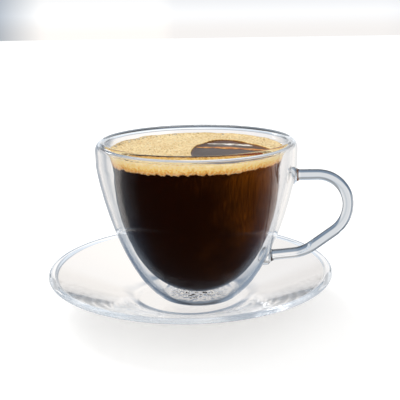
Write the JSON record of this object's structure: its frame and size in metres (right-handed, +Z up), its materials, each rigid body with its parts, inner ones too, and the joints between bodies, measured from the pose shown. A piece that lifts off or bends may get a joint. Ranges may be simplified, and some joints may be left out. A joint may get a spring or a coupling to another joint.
{
  "type": "espresso in double-walled glass cup",
  "caption": "Espresso with a golden foam layer in a clear double-walled glass cup with a looped handle, on a clear glass saucer.",
  "frame": {"origin": "centre of the saucer's underside, on the table", "axes": "+Z up; +X towards the cup's handle; the cup's axis stands 2.75 mm along +X from the saucer's"},
  "size_m": [0.1098, 0.102, 0.0609],
  "materials": {
    "clear_glass": "clear, fire-polished",
    "black_coffee": "dark clear liquid, amber where thin",
    "crema_foam": "fine foam"
  },
  "bodies": {
    "root": {"saucer": "clear_glass", "cup": "clear_glass", "coffee": "black_coffee", "crema": "crema_foam"}
  },
  "joints": []
}
